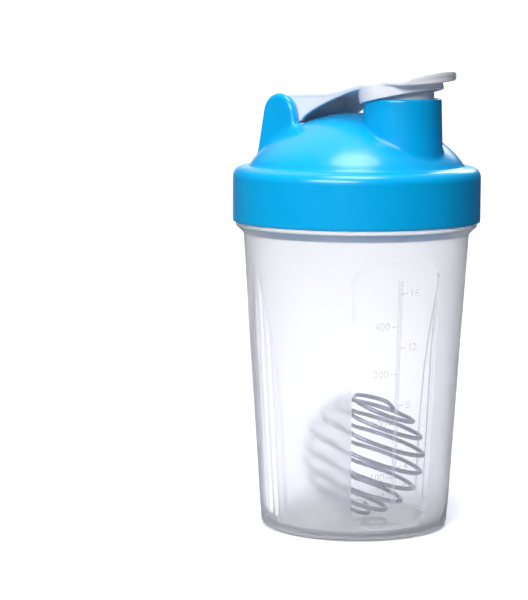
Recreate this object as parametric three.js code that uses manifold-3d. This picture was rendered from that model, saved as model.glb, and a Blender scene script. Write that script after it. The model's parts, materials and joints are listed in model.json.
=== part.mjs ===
// A protein shaker bottle: a tapered cup with a threaded neck, a domed screw lid with a drinking
// spout, a flip cap hinged between two ears, and a loose wire whisk ball inside.
// Millimetres, +Z up, origin at the centre of the foot, spout towards +X.
import * as THREE from "three";
import { mergeVertices } from "three/addons/utils/BufferGeometryUtils.js";
import Module from "manifold-3d";

const wasm = await Module();
wasm.setup();

// ---------------------------------------------------------------- driving dimensions
const ROUND_STEPS = 48; // facets round the large turned parts
const SMALL_STEPS = 32; // facets round the spout, the disc and the plug
const GAP = 0.3; // clearance between neighbouring pieces

const wall = { cup: 1.6, lid: 2.0, spout: 1.7, strap: 1.8, skirt: 0.95, plug: 1.3 };

const cup = {
  footInner: 33,
  footRecess: 1.2,
  floorTop: 2.8,
  cornerRadius: 2.6,
  baseRadius: 37.8,
  topRadius: 45.5,
  collarStart: 119.4,
  collarRadius: 48.7,
  collarTop: 123.6,
  neckRadius: 45.4,
  neckBore: 43.6,
  neckTop: 142.5,
};

const thread = {
  lead: 12,
  starts: 3,
  bead: 1.0,
  sweep: (200 * Math.PI) / 180,
  steps: 18,
  cupRadius: 45.9,
  cupBottom: 129,
  lidRadius: 47.3,
};

const lid = {
  bottom: 124,
  radius: 50,
  bore: 48,
  shoulder: 146.5,
  edgeRadius: 4,
  domeRadius: 43.2,
  domeHeight: 21.1,
  domePower: 0.8,
  sealSeat: 144.3,
  lipOuter: 43,
  lipInner: 41.4,
  lipBottom: 139.5,
};

const gasket = { inner: 43.9, outer: 47, bottom: 142.8, top: 144 };

const spout = { x: 24.3, baseRadius: 16.1, rimRadius: 15.35, base: 150, rim: 174, edge: 0.6 };
const spoutBore = spout.rimRadius - wall.spout;

const hinge = { x: -25.3, z: 168.2, pinRadius: 2.2, holeRadius: 2.3 };

const ear = {
  inner: 16.3,
  thickness: 4,
  topRadius: 8.6,
  crownDrop: 1.5, // how far the crown's centre lies below the hinge
  spread: 4, // how far the foot reaches past the crown, front and rear
  tangent: 0.2, // radians of the crown below its widest level
  socketDepth: 2.5,
  base: 148,
};

const strap = {
  halfWidth: 16,
  hubRadius: 5.4,
  rearX: -29.5,
  lipHeight: 2.9,
  frontRadius: 21.2,
  flexX: 5.5,
};

const capDisc = { radius: 16.85, skirtDepth: 3.2, skirtBottom: 171.1 };

// The front of the cap opens about the pivot. Its side view is drawn partly open; at rest it sits
// a little askew on the spout, opened further and about an axis not quite square to the strap.
const press = {
  pivot: new THREE.Vector3(strap.flexX, 0, capDisc.skirtBottom),
  drawnAxis: new THREE.Vector3(0, -1, 0),
  drawnAngle: (10 * Math.PI) / 180,
  restAxis: new THREE.Vector3(0.3, -0.954, 0).normalize(),
  restAngle: (11.5 * Math.PI) / 180,
};

const plug = { topRadius: 13, endRadius: 12.3, depth: 7, roof: 1.5 };

const ball = {
  radius: 24.3,
  wire: 0.9,
  turns: 8,
  startAngle: (70 * Math.PI) / 180,
  poleAngle: (22 * Math.PI) / 180,
  lean: (18 * Math.PI) / 180,
  leanHeading: (42.6 * Math.PI) / 180,
  centre: new THREE.Vector3(2.9, 2.7, 28.4),
  steps: 132,
};

// Side view of the strap, (x, z): the line of its top face and the lower edge of its side flanges.
const strapTop = new THREE.SplineCurve([
  new THREE.Vector2(-25.3, 175.6),
  new THREE.Vector2(-9.8, 176.1),
  new THREE.Vector2(-2, 177),
  new THREE.Vector2(13.5, 180.5),
  new THREE.Vector2(21, 182),
  new THREE.Vector2(27, 182.4),
  new THREE.Vector2(36.5, 182),
  new THREE.Vector2(45.8, 184.1),
]);
const flangeEdge = new THREE.SplineCurve([
  new THREE.Vector2(-16.6, 164),
  new THREE.Vector2(-13, 167.1),
  new THREE.Vector2(-0.8, 173.2),
  new THREE.Vector2(5.3, 175.6),
  new THREE.Vector2(14, 178),
  new THREE.Vector2(27, 179.9),
  new THREE.Vector2(45.8, 180.6),
]);

// ---------------------------------------------------------------- helpers
const v2 = (x, y) => new THREE.Vector2(x, y);

function solidOf(geometry) {
  const bare = geometry.clone();
  bare.deleteAttribute("normal");
  bare.deleteAttribute("uv");
  const merged = mergeVertices(bare, 1e-4);
  return new wasm.Manifold(
    new wasm.Mesh({
      numProp: 3,
      vertProperties: merged.attributes.position.array,
      triVerts: new Uint32Array(merged.index.array),
    }),
  );
}

function geometryOf(solid) {
  const mesh = solid.getMesh();
  const geometry = new THREE.BufferGeometry();
  geometry.setAttribute("position", new THREE.BufferAttribute(mesh.vertProperties, 3));
  geometry.setIndex(new THREE.BufferAttribute(mesh.triVerts, 1));
  geometry.computeVertexNormals();
  return geometry;
}

const unionOf = (solids) => solids.reduce((a, b) => a.add(b));

// A solid of revolution about +Z from (radius, height) points.
function turned(points, steps = ROUND_STEPS) {
  return new THREE.LatheGeometry(points, steps).rotateX(Math.PI / 2);
}

// A cylinder or cone standing on z0 with its axis through (x, 0).
function upright(x, z0, z1, bottomRadius, topRadius, steps = SMALL_STEPS) {
  const points = [v2(0, z0), v2(bottomRadius, z0), v2(topRadius, z1), v2(0, z1)];
  return turned(points, steps).translate(x, 0, 0);
}

// A cylinder along Y through (x, z).
function crosswise(x, z, radius, halfLength, steps = 24) {
  return new THREE.CylinderGeometry(radius, radius, 2 * halfLength, steps).translate(x, 0, z);
}

function block(x0, x1, y0, y1, z0, z1) {
  const box = new THREE.BoxGeometry(x1 - x0, y1 - y0, z1 - z0);
  return box.translate((x0 + x1) / 2, (y0 + y1) / 2, (z0 + z1) / 2);
}

// A side outline in (x, z), extruded along Y from y0 to y1.
function sideSlab(points, y0, y1) {
  const slab = new THREE.ExtrudeGeometry(new THREE.Shape(points), {
    depth: y1 - y0,
    bevelEnabled: false,
    steps: 1,
  });
  return slab.rotateX(Math.PI / 2).translate(0, y1, 0);
}

// The outline between a line of points and the same line lowered by a thickness.
function band(line, thickness) {
  const lowered = line.map((p) => v2(p.x, p.y - thickness));
  return [...lowered, ...line.slice().reverse()];
}

function arcPoints(cx, cy, radius, from, to, steps) {
  return Array.from({ length: steps + 1 }, (_, i) => {
    const a = from + ((to - from) * i) / steps;
    return v2(cx + radius * Math.cos(a), cy + radius * Math.sin(a));
  });
}

class Helix extends THREE.Curve {
  constructor(radius, z, start) {
    super();
    Object.assign(this, { radius, z, start });
  }
  getPoint(t, target = new THREE.Vector3()) {
    const a = this.start + t * thread.sweep;
    const rise = (thread.lead * t * thread.sweep) / (2 * Math.PI);
    return target.set(this.radius * Math.cos(a), this.radius * Math.sin(a), this.z + rise);
  }
}

class BallSpiral extends THREE.Curve {
  getPoint(t, target = new THREE.Vector3()) {
    const polar = ball.poleAngle + t * (Math.PI - 2 * ball.poleAngle);
    const turn = ball.startAngle + t * ball.turns * 2 * Math.PI;
    target.setFromSphericalCoords(ball.radius, polar, turn);
    return target.set(target.z, target.x, target.y);
  }
}

function beadAlong(path, radius, steps, sides) {
  const section = new THREE.Shape(arcPoints(0, 0, radius, 0, 2 * Math.PI, sides).slice(0, sides));
  return new THREE.ExtrudeGeometry(section, { steps, extrudePath: path, bevelEnabled: false });
}

function threadBeads(radius, z, phase) {
  const gapBetween = (2 * Math.PI) / thread.starts;
  return Array.from({ length: thread.starts }, (_, i) => {
    const path = new Helix(radius, z, phase + i * gapBetween);
    return solidOf(beadAlong(path, thread.bead, thread.steps, 6));
  });
}

// ---------------------------------------------------------------- cup
const cupOuterAt = (z) =>
  cup.baseRadius + ((cup.topRadius - cup.baseRadius) * z) / cup.collarStart;
const cupInnerAt = (z) => cupOuterAt(z) - wall.cup;

function cupShell() {
  const r = cup.cornerRadius;
  const outerCorner = arcPoints(cupOuterAt(r) - r, r, r, -Math.PI / 2, 0, 3);
  const innerFoot = cup.floorTop + r;
  const innerCorner = arcPoints(cupInnerAt(innerFoot) - r, innerFoot, r, 0, -Math.PI / 2, 3);
  const profile = [
    v2(0, cup.footRecess),
    v2(cup.footInner - 1, cup.footRecess),
    v2(cup.footInner, 0),
    ...outerCorner,
    v2(cup.topRadius, cup.collarStart),
    v2(cup.collarRadius, cup.collarTop - 0.6),
    v2(cup.collarRadius, cup.collarTop),
    v2(cup.neckRadius, cup.collarTop),
    v2(cup.neckRadius, cup.neckTop - 0.6),
    v2(cup.neckRadius - 0.6, cup.neckTop),
    v2(cup.neckBore, cup.neckTop),
    v2(cup.neckBore, cup.collarStart + 2),
    ...innerCorner,
    v2(0, cup.floorTop),
  ];
  const beads = threadBeads(thread.cupRadius, thread.cupBottom, 0);
  return geometryOf(unionOf([solidOf(turned(profile)), ...beads]));
}

// ---------------------------------------------------------------- lid
const domeAt = (rho) =>
  lid.shoulder + lid.domeHeight * (1 - (rho / lid.domeRadius) ** 2) ** lid.domePower;

// Points down a dome's side, from its crown out to its foot.
function domeLine(foot, base, height, steps) {
  return Array.from({ length: steps + 1 }, (_, i) => {
    const rho = foot * Math.sin((i / steps) * (Math.PI / 2));
    return v2(rho, base + height * (1 - (rho / foot) ** 2) ** lid.domePower);
  });
}

function lidBody() {
  const edge = arcPoints(
    lid.radius - lid.edgeRadius,
    lid.shoulder - 0.2 - lid.edgeRadius,
    lid.edgeRadius,
    0,
    Math.PI / 2,
    4,
  );
  const dome = domeLine(lid.domeRadius, lid.shoulder, lid.domeHeight, 9).reverse();
  return solidOf(turned([v2(0, lid.bottom), v2(lid.radius, lid.bottom), ...edge, ...dome]));
}

// Everything that is empty under the lid: the dome, the seal groove and the threaded skirt.
function lidHollow() {
  const inside = lid.lipInner;
  const roof = domeLine(inside, lid.sealSeat, domeAt(0) - wall.lid - lid.sealSeat, 8).reverse();
  const profile = [
    v2(0, lid.bottom - 5),
    v2(lid.bore, lid.bottom - 5),
    v2(lid.bore, lid.sealSeat),
    v2(lid.lipOuter, lid.sealSeat),
    v2(lid.lipOuter, lid.lipBottom),
    v2(inside, lid.lipBottom),
    ...roof,
  ];
  return solidOf(turned(profile));
}

function spoutTube() {
  const top = spout.rim - spout.edge;
  const points = [
    v2(0, spout.base),
    v2(spout.baseRadius, spout.base),
    v2(spout.rimRadius, top),
    v2(spout.rimRadius - spout.edge, spout.rim),
    v2(0, spout.rim),
  ];
  return solidOf(turned(points, SMALL_STEPS).translate(spout.x, 0, 0));
}

function earPlate(side) {
  const r = ear.topRadius;
  const reach = r + ear.spread;
  const outline = [
    v2(hinge.x - reach, ear.base),
    v2(hinge.x + reach, ear.base),
    ...arcPoints(hinge.x, hinge.z - ear.crownDrop, r, -ear.tangent, Math.PI + ear.tangent, 12),
  ];
  const near = side * ear.inner;
  const far = side * (ear.inner + ear.thickness);
  return solidOf(sideSlab(outline, Math.min(near, far), Math.max(near, far)));
}

function lidShell() {
  const outside = unionOf([lidBody(), spoutTube(), earPlate(-1), earPlate(1)]);
  const bore = solidOf(upright(spout.x, lid.lipBottom, spout.rim + 5, spoutBore, spoutBore));
  const sockets = solidOf(
    crosswise(hinge.x, hinge.z, hinge.holeRadius, ear.inner + ear.socketDepth),
  );
  const halfPitch = thread.lead / thread.starts / 2;
  const beads = threadBeads(thread.lidRadius, thread.cupBottom - halfPitch, 0);
  const hollowed = outside.subtract(lidHollow()).subtract(bore).subtract(sockets);
  return geometryOf(unionOf([hollowed, ...beads]));
}

function gasketRing() {
  return turned([
    v2(gasket.inner, gasket.bottom),
    v2(gasket.outer, gasket.bottom),
    v2(gasket.outer, gasket.top),
    v2(gasket.inner, gasket.top),
    v2(gasket.inner, gasket.bottom),
  ]);
}

// ---------------------------------------------------------------- flip cap
function strapPlate() {
  const r = strapTop.points[0].y - hinge.z;
  const rearAngle = Math.acos((strap.rearX - hinge.x) / r);
  const rear = arcPoints(hinge.x, hinge.z, r, rearAngle, Math.PI / 2, 4).slice(0, -1);
  const line = [...rear, ...strapTop.getPoints(20)];
  return solidOf(sideSlab(band(line, wall.strap), -strap.halfWidth, strap.halfWidth));
}

function strapFlange(side) {
  const outline = [
    v2(hinge.x, hinge.z - strap.hubRadius),
    ...flangeEdge.getPoints(16),
    ...strapTop.getPoints(16).reverse().map((p) => v2(p.x, p.y - wall.strap / 2)),
  ];
  const outer = side * strap.halfWidth;
  const inner = side * (strap.halfWidth - wall.strap);
  return solidOf(sideSlab(outline, Math.min(outer, inner), Math.max(outer, inner)));
}

// The turned-down lip round the thumb end of the strap.
function strapLip() {
  const line = strapTop.getPoints(24).filter((p) => p.x > 30);
  const lip = solidOf(sideSlab(band(line, strap.lipHeight), -strap.halfWidth, strap.halfWidth));
  const low = capDisc.skirtBottom;
  const inside = strap.frontRadius - wall.strap;
  const core = solidOf(upright(spout.x, low, low + 30, inside, inside, ROUND_STEPS));
  return lip.subtract(core);
}

// Seen from above the strap is straight-sided, with its thumb end rounded about the spout.
function strapOutline() {
  const cornerX = spout.x + Math.sqrt(strap.frontRadius ** 2 - strap.halfWidth ** 2);
  const low = lid.shoulder;
  const high = low + 50;
  const straight = solidOf(
    block(hinge.x - 10, cornerX, -strap.halfWidth, strap.halfWidth, low, high),
  );
  const r = strap.frontRadius;
  return straight.add(solidOf(upright(spout.x, low, high, r, r, ROUND_STEPS)));
}

function wholeStrap() {
  const hub = solidOf(crosswise(hinge.x, hinge.z, strap.hubRadius, strap.halfWidth));
  const shell = unionOf([strapPlate(), strapFlange(-1), strapFlange(1), strapLip()]);
  const bore = solidOf(crosswise(hinge.x, hinge.z, hinge.holeRadius, strap.halfWidth + 1));
  return shell.intersect(strapOutline()).add(hub).subtract(bore);
}

// Everything behind (side -1) or ahead of (side 1) the line where the strap flexes.
function besideFlex(side) {
  const from = strap.flexX + (side * GAP) / 2;
  const to = from + side * 60;
  return solidOf(block(Math.min(from, to), Math.max(from, to), -30, 30, 140, 200));
}

// The turn about the pivot that opens the closed cap by an angle about an axis.
function opening(axis, angle) {
  const there = new THREE.Matrix4().makeTranslation(press.pivot);
  const back = there.clone().invert();
  return there.multiply(new THREE.Matrix4().makeRotationAxis(axis, angle)).multiply(back);
}

const drawnPose = () => opening(press.drawnAxis, press.drawnAngle);
const restPose = () => opening(press.restAxis, press.restAngle);
const drawnToRest = () => restPose().multiply(drawnPose().invert());

function discBody() {
  const low = capDisc.skirtBottom;
  const inner = capDisc.radius - wall.skirt;
  const puck = upright(spout.x, low, low + 20, capDisc.radius, capDisc.radius);
  const recess = upright(spout.x, low - 2, low + capDisc.skirtDepth, inner, inner);
  const below = (curve, lift, halfWidth) => {
    const line = curve.getPoints(16).filter((p) => p.x > 0);
    const lifted = line.map((p) => v2(p.x, p.y + lift));
    return solidOf(sideSlab(band(lifted, 20), -halfWidth, halfWidth));
  };
  const room = below(flangeEdge, 1, 20).add(below(strapTop, -wall.strap / 2, strap.halfWidth - 1));
  const drawn = [puck, recess].map((piece) => solidOf(piece.applyMatrix4(drawnPose())));
  return drawn[0].subtract(drawn[1]).intersect(room);
}

const flipStrap = () => geometryOf(wholeStrap().intersect(besideFlex(-1)));

function capDiscShell() {
  const front = wholeStrap().add(discBody()).transform(drawnToRest().elements);
  return geometryOf(front.intersect(besideFlex(1)));
}

function spoutPlug() {
  const top = capDisc.skirtBottom + capDisc.skirtDepth - GAP;
  const end = top - plug.depth;
  const inside = plug.endRadius - wall.plug;
  const points = [
    v2(0, top - plug.roof),
    v2(inside, top - plug.roof),
    v2(inside, end),
    v2(plug.endRadius, end),
    v2(plug.topRadius, top - 1),
    v2(plug.topRadius, top),
    v2(0, top),
  ];
  return turned(points, SMALL_STEPS).translate(spout.x, 0, 0).applyMatrix4(restPose());
}

const hingePin = () =>
  crosswise(hinge.x, hinge.z, hinge.pinRadius, ear.inner + ear.socketDepth - GAP);

// ---------------------------------------------------------------- whisk ball
function whiskBall() {
  const wire = beadAlong(new BallSpiral(), ball.wire, ball.steps, 6);
  const leanAxis = new THREE.Vector3(-Math.sin(ball.leanHeading), Math.cos(ball.leanHeading), 0);
  wire.applyMatrix4(new THREE.Matrix4().makeRotationAxis(leanAxis, ball.lean));
  return wire.translate(ball.centre.x, ball.centre.y, ball.centre.z);
}

// ---------------------------------------------------------------- assembly
const frosted = { color: 0xe6eaf0, roughness: 0.35, metalness: 0 };
const bluePlastic = { color: 0x009fe3, roughness: 0.25, metalness: 0 };
const whitePlastic = { color: 0xf2f2f6, roughness: 0.35, metalness: 0 };
const silicone = { color: 0xd8dce2, roughness: 0.6, metalness: 0 };
const steel = { color: 0x9aa0a8, roughness: 0.3, metalness: 0.9 };

const pieces = [
  ["cup_shell", cupShell(), frosted],
  ["lid_shell", lidShell(), bluePlastic],
  ["lid_gasket", gasketRing(), silicone],
  ["flip_strap", flipStrap(), whitePlastic],
  ["hinge_pin", hingePin(), whitePlastic],
  ["cap_disc", capDiscShell(), whitePlastic],
  ["spout_plug", spoutPlug(), whitePlastic],
  ["whisk_ball", whiskBall(), steel],
];

const group = new THREE.Group();
for (const [name, geometry, look] of pieces) {
  const mesh = new THREE.Mesh(geometry, new THREE.MeshStandardMaterial(look));
  mesh.name = name;
  group.add(mesh);
}

export default group;
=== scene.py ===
import itertools
import json
import math

import bpy
import numpy as np
from mathutils import Matrix, Vector


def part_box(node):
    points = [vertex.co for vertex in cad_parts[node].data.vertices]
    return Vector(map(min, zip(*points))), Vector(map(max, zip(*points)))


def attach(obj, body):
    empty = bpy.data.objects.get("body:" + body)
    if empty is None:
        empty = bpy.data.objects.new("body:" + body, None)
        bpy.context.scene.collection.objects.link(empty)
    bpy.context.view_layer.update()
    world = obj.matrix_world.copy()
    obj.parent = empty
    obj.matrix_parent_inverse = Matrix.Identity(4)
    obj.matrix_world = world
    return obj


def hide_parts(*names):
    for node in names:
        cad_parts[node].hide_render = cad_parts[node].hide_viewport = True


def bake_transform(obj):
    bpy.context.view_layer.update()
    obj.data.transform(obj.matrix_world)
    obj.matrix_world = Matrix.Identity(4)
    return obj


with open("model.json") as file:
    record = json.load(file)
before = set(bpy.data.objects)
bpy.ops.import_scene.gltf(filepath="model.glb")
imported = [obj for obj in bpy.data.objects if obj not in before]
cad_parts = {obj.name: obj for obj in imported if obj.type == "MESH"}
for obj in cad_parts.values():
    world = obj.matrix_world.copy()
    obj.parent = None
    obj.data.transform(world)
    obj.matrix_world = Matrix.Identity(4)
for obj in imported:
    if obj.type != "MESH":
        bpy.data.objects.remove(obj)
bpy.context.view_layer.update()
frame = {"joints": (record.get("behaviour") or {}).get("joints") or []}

# ---------------------------------------------------------------- sizes, in millimetres
MM = 0.001
joints = {joint["name"]: joint for joint in frame["joints"]}


def joint_place(name):
    """A joint's (x, z) in millimetres."""
    x, _, z = joints[name]["pos_m"]
    return x / MM, z / MM


HINGE_X, HINGE_Z = joint_place("flip_cap_hinge")
PRESS_X, PRESS_Z = joint_place("cap_press")
LID_LOW, LID_HIGH = (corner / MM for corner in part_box("lid_shell"))
GASKET_LOW, GASKET_HIGH = (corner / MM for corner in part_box("lid_gasket"))
PIN_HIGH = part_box("hinge_pin")[1] / MM
REST_AXIS = Vector(joints["cap_press"]["axis"])
REST_OPEN = math.radians(-joints["cap_press"]["range_deg"][0])
BALL_CENTRE = Vector((2.9, 2.7, 28.4))

CUP_WALL = 1.6
CUP_BASE_RADIUS = 37.8
CUP_TOP_RADIUS = 45.5
FOOT_RADIUS = 32.2
FOOT_RECESS = 1.2
FLOOR_TOP = 2.8
CORNER = 2.6
FLAT_RADIUS = 4.0
COLLAR_START = 119.4
COLLAR_RADIUS = 48.7
COLLAR_TOP = 123.6
COLLAR_EDGE = 1.1
NECK_RADIUS = 45.4
NECK_BORE = 43.6
NECK_TOP = 142.5
WINDOW_DEPTH = 0.12
SCALE_ENDS = (14.0, 104.0)
SCALE_HALF_LINE = 0.6
SCALE_RELIEF = 0.15

THREAD_LEAD = 12.0
THREAD_STARTS = 3
THREAD_SWEEP = math.radians(200)
THREAD_BOTTOM = 129.0
THREAD_BEAD = 1.0
LID_THREAD_RADIUS = 47.3

LID_BOTTOM = LID_LOW.z
LID_RADIUS = LID_HIGH.y
LID_BORE = 48.0
SHOULDER = 146.5
DOME_RADIUS = 43.2
DOME_HEIGHT = 21.1
DOME_POWER = 0.8
LID_WALL = 2.0
SEAL_SEAT = 144.3
LIP_OUTER = 43.0
LIP_INNER = 41.4
LIP_BOTTOM = 139.5

SPOUT_X = 24.3
SPOUT_BASE = 150.0
SPOUT_BASE_RADIUS = 16.1
SPOUT_RIM_RADIUS = 15.35
SPOUT_RIM = 174.0
SPOUT_BORE = 13.65

EAR_INNER = 16.3
EAR_THICKNESS = 4.0
EAR_RADIUS = 8.6
EAR_DROP = 1.5
EAR_SPREAD = 4.0
EAR_TANGENT = 11.5
EAR_BASE = 148.0
EAR_ROUNDING = 1.95
SOCKET_RADIUS = 2.3
SOCKET_DEPTH = 2.5

STRAP_WALL = 1.8
STRAP_HALF_WIDTH = 16.0
HUB_RADIUS = 5.4
STRAP_REAR_X = -29.5
HUB_END_X = -18.0
LIP_START_X = 29.0
LIP_EDGE = 179.9
STRAP_FRONT_RADIUS = 21.2
STRAP_TOP = [
    (-25.3, 175.6),
    (-9.8, 176.1),
    (-2, 177),
    (13.5, 180.5),
    (21, 182),
    (27, 182.4),
    (36.5, 182),
    (45.8, 184.1),
]
FLANGE_EDGE = [
    (-16.6, 164),
    (-13, 167.1),
    (-0.8, 173.2),
    (5.3, 175.6),
    (14, 178),
    (27, 179.9),
    (45.8, 180.6),
]
FLEX_FROM = -10.0
FLEX_TO = PRESS_X + 1

DISC_RADIUS = 16.85
DISC_SKIRT = 0.95
DISC_DEPTH = 3.2
DISC_BOTTOM = PRESS_Z
DRAWN_AXIS = Vector((0, -1, 0))
DRAWN_OPEN = math.radians(10)

PLUG_TOP_RADIUS = 13.0
PLUG_END_RADIUS = 12.3
PLUG_DEPTH = 7.0
PLUG_WALL = 1.3
PLUG_ROOF = 1.5
GAP = 0.3

BALL_RADIUS = 24.3
WIRE_RADIUS = 0.9
BALL_TURNS = 8
BALL_POLE = math.radians(22)
BALL_LEAN = math.radians(18)
BALL_START = math.radians(70)

VIEW_HEADING = math.radians(42.6)  # the main view's left-to-right direction, seen from above
WINDOW_CENTRES = (-24.0, 156.0)
GRIP_CENTRES = (-114.0, 66.0)


# ---------------------------------------------------------------- outlines
def rounded(corners, bend_steps=6):
    """Points of an outline given as (u, v, fillet radius) corners; the two ends stay sharp."""
    places = np.array([corner[:2] for corner in corners], float)
    points = [places[0]]
    for index in range(1, len(corners) - 1):
        radius = corners[index][2]
        corner = places[index]
        if radius <= 0:
            points.append(corner)
            continue
        back = places[index - 1] - corner
        ahead = places[index + 1] - corner
        back /= np.linalg.norm(back)
        ahead /= np.linalg.norm(ahead)
        half = math.acos(np.clip(back @ ahead, -1, 1)) / 2
        middle = back + ahead
        centre = corner + middle / np.linalg.norm(middle) * radius / math.sin(half)
        first = corner + back * radius / math.tan(half) - centre
        last = corner + ahead * radius / math.tan(half) - centre
        swing = math.pi - 2 * half
        for share in np.linspace(0, 1, bend_steps + 1):
            blend = math.sin((1 - share) * swing) * first + math.sin(share * swing) * last
            points.append(centre + blend / math.sin(swing))
    points.append(places[-1])
    return np.array(points)


def spaced(points, spacing_at):
    """The same line with long stretches cut into steps of about spacing_at(point)."""
    line = [points[0]]
    for start, end in zip(points[:-1], points[1:]):
        count = max(1, math.ceil(np.linalg.norm(end - start) / spacing_at((start + end) / 2) - 0.2))
        line.extend(start + (end - start) * step / count for step in range(1, count + 1))
    return np.array(line)


def spline(points, steps=12):
    """A smooth line through the points, as a uniform Catmull-Rom spline."""
    knots = np.array(points, float)
    knots = np.vstack([2 * knots[0] - knots[1], knots, 2 * knots[-1] - knots[-2]])
    line = []
    for a, b, c, d in zip(knots, knots[1:], knots[2:], knots[3:]):
        for t in np.arange(steps) / steps:
            bend = (2 * a - 5 * b + 4 * c - d) * t * t + (3 * (b - c) + d - a) * t ** 3
            line.append(b + (bend + (c - a) * t) / 2)
    line.append(knots[-2])
    return np.array(line)


def arc(centre_u, centre_v, radius, start, end, steps):
    angles = np.radians(np.linspace(start, end, steps + 1))
    return np.column_stack([centre_u + radius * np.cos(angles), centre_v + radius * np.sin(angles)])


# ---------------------------------------------------------------- meshes
def new_piece(name, points, faces, normals=None):
    """A smooth mesh object from points in millimetres."""
    mesh = bpy.data.meshes.new(name)
    mesh.from_pydata((np.asarray(points, float) * MM).tolist(), [], faces)
    mesh.shade_smooth()
    if normals is not None:
        mesh.normals_split_custom_set_from_vertices(normals.tolist())
    piece = bpy.data.objects.new(name, mesh)
    bpy.context.scene.collection.objects.link(piece)
    return piece


def grid_faces(rows, columns, wrap_rows=False):
    """Quads over a grid of points whose columns close round on themselves."""
    faces = []
    for row in range(rows if wrap_rows else rows - 1):
        a = row * columns
        b = (row + 1) % rows * columns
        for column in range(columns):
            after = (column + 1) % columns
            faces.append((a + column, a + after, b + after, b + column))
    return faces


def lathe(name, radii, heights, angles, closed_ring=False):
    """A turned piece: radii has a row for each height and a column for each angle."""
    shape = (len(heights), len(angles))
    radii = np.broadcast_to(np.asarray(radii, float).reshape(len(heights), -1), shape)
    x = radii * np.cos(angles)
    y = radii * np.sin(angles)
    z = np.broadcast_to(np.asarray(heights, float)[:, None], x.shape)
    points = np.stack([x, y, z], -1).reshape(-1, 3)
    faces = grid_faces(len(heights), len(angles), closed_ring)
    if not closed_ring:
        count = len(angles)
        first = len(points)
        poles = [(0, 0, heights[0]), (0, 0, heights[-1])]
        points = np.vstack([points, poles])
        last_row = (len(heights) - 1) * count
        for column in range(count):
            after = (column + 1) % count
            faces.append((first, after, column))
            faces.append((first + 1, last_row + column, last_row + after))
    return new_piece(name, points, faces)


def round_angles(steps):
    return np.arange(steps) * 2 * math.pi / steps


# ---------------------------------------------------------------- solid fields, negative inside
def outline_field(points, step=0.2, margin=6.0):
    """Signed distance to a closed outline, read from a table of exact values."""
    points = np.asarray(points, float)
    low = points.min(0) - margin
    counts = np.ceil((points.max(0) + margin - low) / step).astype(int) + 1
    us = low[0] + step * np.arange(counts[0])
    vs = low[1] + step * np.arange(counts[1])
    u, v = np.meshgrid(us, vs, indexing="ij")
    distance = np.full(u.shape, np.inf)
    inside = np.zeros(u.shape, bool)
    for start, end in zip(points, np.roll(points, -1, axis=0)):
        du, dv = end - start
        if du == 0 and dv == 0:
            continue
        along = np.clip(((u - start[0]) * du + (v - start[1]) * dv) / (du * du + dv * dv), 0, 1)
        gap = np.hypot(u - start[0] - along * du, v - start[1] - along * dv)
        distance = np.minimum(distance, gap)
        if dv != 0:
            straddles = (start[1] > v) != (end[1] > v)
            inside ^= straddles & (u < start[0] + du * (v - start[1]) / dv)
    table = np.where(inside, -distance, distance)

    def field(at_u, at_v):
        fu = np.clip((at_u - low[0]) / step, 0, counts[0] - 1.001)
        fv = np.clip((at_v - low[1]) / step, 0, counts[1] - 1.001)
        iu = fu.astype(int)
        iv = fv.astype(int)
        fu = fu - iu
        fv = fv - iv
        lower = table[iu, iv] * (1 - fu) + table[iu + 1, iv] * fu
        upper = table[iu, iv + 1] * (1 - fu) + table[iu + 1, iv + 1] * fu
        return lower * (1 - fv) + upper * fv

    return field


def join(a, b, soften=0.5):
    overlap = np.maximum(soften - np.abs(a - b), 0) / soften
    return np.minimum(a, b) - overlap * overlap * soften / 4


def common(a, b, soften=0.5):
    return -join(-a, -b, soften)


def cut(a, b, soften=0.5):
    return common(a, -b, soften)


def slab(section, across, rounding):
    """A section swept across: both are fields, and the edges where they meet are rounded."""
    a = section + rounding
    b = across + rounding
    return np.hypot(np.maximum(a, 0), np.maximum(b, 0)) + np.minimum(np.maximum(a, b), 0) - rounding


def gradient(field, points, reach):
    columns = []
    for axis in range(3):
        step = np.zeros(3)
        step[axis] = reach
        columns.append(field(*(points + step).T) - field(*(points - step).T))
    return np.column_stack(columns) / (2 * reach)


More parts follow.
